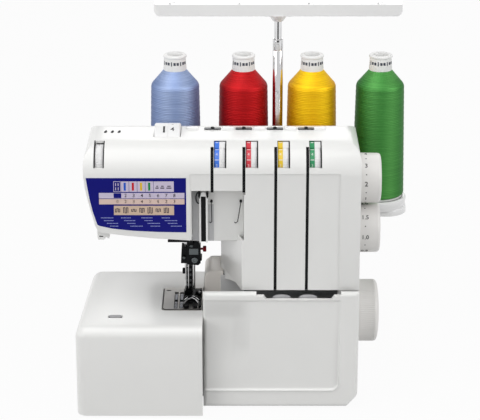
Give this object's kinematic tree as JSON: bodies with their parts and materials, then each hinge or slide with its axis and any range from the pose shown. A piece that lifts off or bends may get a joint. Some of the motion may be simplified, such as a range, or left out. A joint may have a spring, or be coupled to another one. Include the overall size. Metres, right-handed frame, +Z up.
{
  "type": "serger overlock machine",
  "caption": "Overlock sewing machine with free arm, pull-off table, colour-coded tension dials, loopers, knives and a telescopic stand holding thread cones.",
  "frame": {"origin": "middle of the whole footprint, on the surface that the machine stands on", "axes": "+X to the right, +Y to the back, +Z up, seen from the operator's side"},
  "size_m": [0.37, 0.28, 0.405],
  "materials": {
    "plastic_ivory": "glossy off-white moulded casing",
    "plastic_white": "glossy white moulding",
    "plastic_grey": "pale grey moulding",
    "plastic_black": "fine matt black moulding",
    "pan_steel": "pale painted pressed steel",
    "cast_alloy": "die-cast alloy, shot blasted",
    "bright_steel": "polished plated steel",
    "spring_steel": "oiled spring wire",
    "plate_steel": "brushed needle plate",
    "knife_steel": "ground tool steel",
    "gunmetal": "black oxide steel, worn on its edges",
    "screw_red": "dark red knob",
    "bronze": "sintered bronze",
    "motor_paint": "dark grey enamel",
    "lamp_glass": "frosted lens",
    "rubber_black": "black rubber",
    "chart_print": "printed navy panel",
    "dial_blue": "white wheel with a blue band",
    "dial_red": "white wheel with a red band",
    "dial_yellow": "white wheel with a yellow band",
    "dial_green": "white wheel with a green band",
    "chrome_rod": "polished chrome tube",
    "thread_blue": "lustrous wound thread, periwinkle blue",
    "thread_red": "lustrous wound thread, red",
    "thread_yellow": "lustrous wound thread, golden yellow",
    "thread_green": "lustrous wound thread, green"
  },
  "bodies": {
    "machine": {"base_pan": "pan_steel", "rubber_feet": "rubber_black", "machine_frame": "cast_alloy", "free_arm_cover": "plastic_ivory", "front_housing": "plastic_ivory", "rear_cover": "plastic_ivory", "side_cover": "plastic_ivory", "chart_panel": "chart_print", "housing_screws": "bright_steel", "needle_plate": "plate_steel", "presser_spring": "spring_steel", "lower_knife": "knife_steel", "shaft_bearings": "bronze", "drive_belt": "rubber_black", "motor": "motor_paint", "lamp": "lamp_glass", "tension_discs": "bright_steel", "dial_bracket": "pan_steel", "power_inlet": "plastic_black", "top_thread_guides": "gunmetal", "lever_cover": "plastic_white", "thread_cutter": "plastic_ivory", "stand_base": "plastic_white", "cone_cores": "plastic_white", "winding_blue": "thread_blue", "winding_red": "thread_red", "winding_yellow": "thread_yellow", "winding_green": "thread_green"},
    "cover_rod": {"cover_hinge_rod": "bright_steel"},
    "looper_cover_body": {"looper_cover": "plastic_ivory"},
    "table": {"extension_table": "plastic_ivory"},
    "table_button": {"table_release_button": "plastic_grey"},
    "drive": {"main_shaft": "bright_steel", "handwheel": "plastic_ivory"},
    "motor_rotor": {"motor_pulley": "cast_alloy"},
    "needle_carriage": {"needle_bar": "bright_steel", "needle_clamp": "gunmetal", "needle_clamp_screw": "screw_red", "needles": "bright_steel"},
    "presser": {"presser_bar": "bright_steel", "foot_holder": "gunmetal", "presser_foot": "gunmetal"},
    "lifter": {"presser_lifter": "plastic_black"},
    "upper_looper_arm": {"upper_looper": "bright_steel"},
    "lower_looper_arm": {"lower_looper": "bright_steel"},
    "knife_slide": {"upper_knife": "knife_steel"},
    "main_feed": {"main_feed_dog": "knife_steel"},
    "differential_feed": {"differential_feed_dog": "knife_steel"},
    "tension_1": {"tension_dial_1": "dial_blue"},
    "tension_2": {"tension_dial_2": "dial_red"},
    "tension_3": {"tension_dial_3": "dial_yellow"},
    "tension_4": {"tension_dial_4": "dial_green"},
    "pressure_wheel": {"pressure_dial": "plastic_white"},
    "program_wheel": {"program_dial": "plastic_white"},
    "stitch_wheel": {"stitch_length_dial": "plastic_grey"},
    "differential_wheel": {"differential_dial": "plastic_grey"},
    "switch_rocker": {"power_switch": "plastic_black"},
    "stand_lower": {"lower_rod": "chrome_rod"},
    "stand_upper": {"upper_rod": "chrome_rod", "guide_bar": "plastic_white"}
  },
  "joints": [
    {"name": "handwheel_spin", "type": "hinge", "parent": "machine", "child": "drive", "pos_m": [0, -0.009, 0.072], "axis": [1, 0, 0], "continuous": true},
    {"name": "motor_spin", "type": "hinge", "parent": "machine", "child": "motor_rotor", "pos_m": [0.09, 0.028, 0.036], "axis": [1, 0, 0], "continuous": true},
    {"name": "needle_bar_stroke", "type": "slide", "parent": "machine", "child": "needle_carriage", "axis": [0, 0, 1], "range_m": [-0.026, 0]},
    {"name": "presser_lifter_turn", "type": "hinge", "parent": "machine", "child": "lifter", "pos_m": [-0.05, 0, 0.242], "axis": [0, -1, 0], "range_deg": [0, 35]},
    {"name": "presser_bar_lift", "type": "slide", "parent": "machine", "child": "presser", "axis": [0, 0, 1], "range_m": [0, 0.006], "deforming": ["presser_spring"]},
    {"name": "upper_looper_swing", "type": "hinge", "parent": "machine", "child": "upper_looper_arm", "pos_m": [0.006, -0.06, 0.058], "axis": [0, 1, 0], "range_deg": [-10, 10]},
    {"name": "lower_looper_swing", "type": "hinge", "parent": "machine", "child": "lower_looper_arm", "pos_m": [-0.02, -0.06, 0.046], "axis": [0, 1, 0], "range_deg": [-8, 12]},
    {"name": "upper_knife_stroke", "type": "slide", "parent": "machine", "child": "knife_slide", "axis": [0, 0, 1], "range_m": [-0.008, 0]},
    {"name": "main_feed_stroke", "type": "slide", "parent": "machine", "child": "main_feed", "axis": [0, 1, 0], "range_m": [-0.0015, 0.0015]},
    {"name": "differential_feed_stroke", "type": "slide", "parent": "machine", "child": "differential_feed", "axis": [0, 1, 0], "range_m": [-0.0015, 0.0015]},
    {"name": "tension_dial_1_turn", "type": "hinge", "parent": "machine", "child": "tension_1", "pos_m": [-0.028, -0.08419, 0.27219], "axis": [1, 0, 0], "range_deg": [-120, 120]},
    {"name": "tension_dial_2_turn", "type": "hinge", "parent": "machine", "child": "tension_2", "pos_m": [0.0056, -0.08419, 0.27219], "axis": [1, 0, 0], "range_deg": [-120, 120]},
    {"name": "tension_dial_3_turn", "type": "hinge", "parent": "machine", "child": "tension_3", "pos_m": [0.0392, -0.08419, 0.27219], "axis": [1, 0, 0], "range_deg": [-120, 120]},
    {"name": "tension_dial_4_turn", "type": "hinge", "parent": "machine", "child": "tension_4", "pos_m": [0.0728, -0.08419, 0.27219], "axis": [1, 0, 0], "range_deg": [-120, 120]},
    {"name": "pressure_dial_turn", "type": "hinge", "parent": "machine", "child": "pressure_wheel", "pos_m": [-0.157, -0.08419, 0.27219], "axis": [1, 0, 0], "range_deg": [-150, 150]},
    {"name": "program_dial_turn", "type": "hinge", "parent": "machine", "child": "program_wheel", "pos_m": [-0.085, -0.049, 0.2765], "axis": [1, 0, 0], "range_deg": [-120, 120]},
    {"name": "stitch_length_turn", "type": "hinge", "parent": "machine", "child": "stitch_wheel", "pos_m": [0.13, -0.029, 0.237], "axis": [1, 0, 0], "range_deg": [-120, 120]},
    {"name": "differential_turn", "type": "hinge", "parent": "machine", "child": "differential_wheel", "pos_m": [0.13, -0.029, 0.179], "axis": [1, 0, 0], "range_deg": [-70, 70]},
    {"name": "cover_slide", "type": "slide", "parent": "machine", "child": "cover_rod", "axis": [1, 0, 0], "range_m": [0, 0.008]},
    {"name": "cover_tilt", "type": "hinge", "parent": "cover_rod", "child": "looper_cover_body", "pos_m": [0, -0.107, 0.014], "axis": [1, 0, 0], "range_deg": [0, 85]},
    {"name": "table_pull_off", "type": "slide", "parent": "machine", "child": "table", "axis": [-1, 0, 0], "range_m": [0, 0.12]},
    {"name": "table_button_press", "type": "slide", "parent": "table", "child": "table_button", "axis": [0, 0, -1], "range_m": [0, 0.0015], "stiffness_N_per_m": 300},
    {"name": "power_switch_rock", "type": "hinge", "parent": "machine", "child": "switch_rocker", "pos_m": [0.1187, 0.046, 0.058], "axis": [0, 1, 0], "range_deg": [0, 8]},
    {"name": "stand_lower_slide", "type": "slide", "parent": "machine", "child": "stand_lower", "axis": [0, 0, 1], "range_m": [-0.025, 0]},
    {"name": "stand_upper_slide", "type": "slide", "parent": "stand_lower", "child": "stand_upper", "axis": [0, 0, 1], "range_m": [-0.015, 0]}
  ],
  "couplings": [
    {"joint": "motor_spin", "follows": "handwheel_spin", "ratio": 3.25},
    {"joint": "presser_lifter_turn", "follows": "presser_bar_lift", "rad_per_m": 101.8},
    {"joint": "differential_feed_stroke", "follows": "main_feed_stroke", "ratio": 1}
  ]
}
